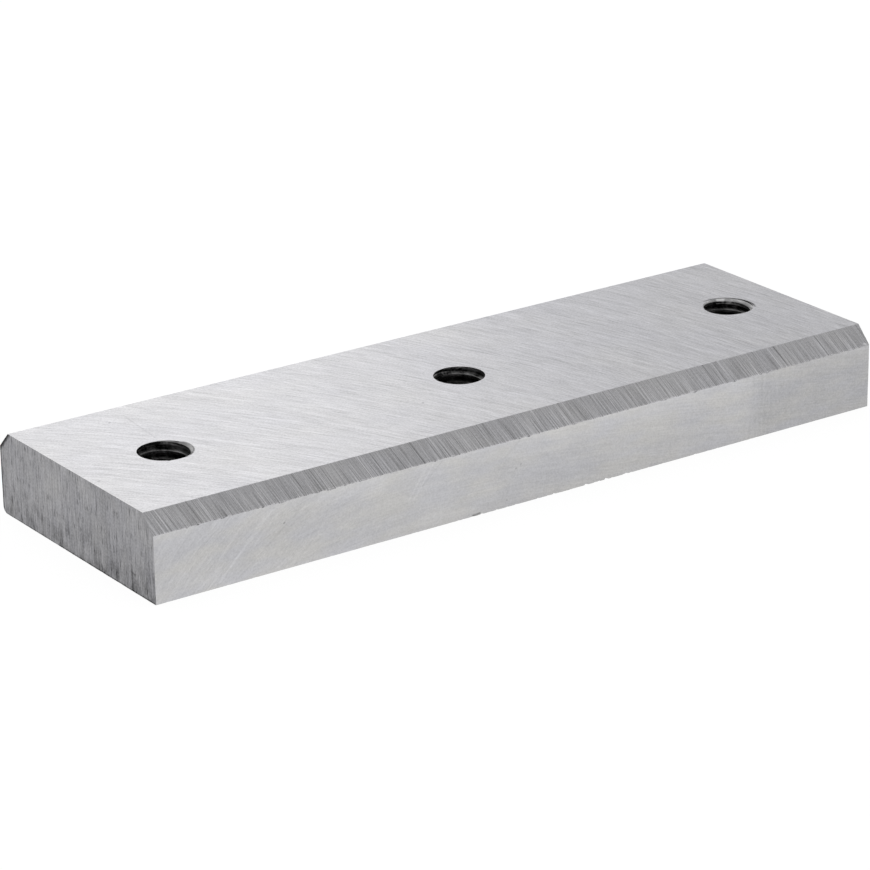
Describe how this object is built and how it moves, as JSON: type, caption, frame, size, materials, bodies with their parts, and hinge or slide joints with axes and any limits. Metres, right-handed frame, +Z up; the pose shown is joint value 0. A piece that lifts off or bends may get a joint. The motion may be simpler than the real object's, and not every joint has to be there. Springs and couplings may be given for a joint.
{
  "type": "chipper shredder blade",
  "caption": "Flat ground steel bar blade with a 45 degree bevel along both long top edges and a row of tapped through holes.",
  "frame": {"origin": "under the middle of the bar, on its underside", "axes": "+X along the bar towards the end that the holes are nearer to, +Y from the front long side to the back one, +Z up from the underside to the bevelled top"},
  "size_m": [0.15, 0.05, 0.015],
  "materials": {
    "ground_steel": "bare ground steel, fine grinding lines, saw cut ends"
  },
  "bodies": {
    "root": {"blade": "ground_steel"}
  },
  "joints": []
}
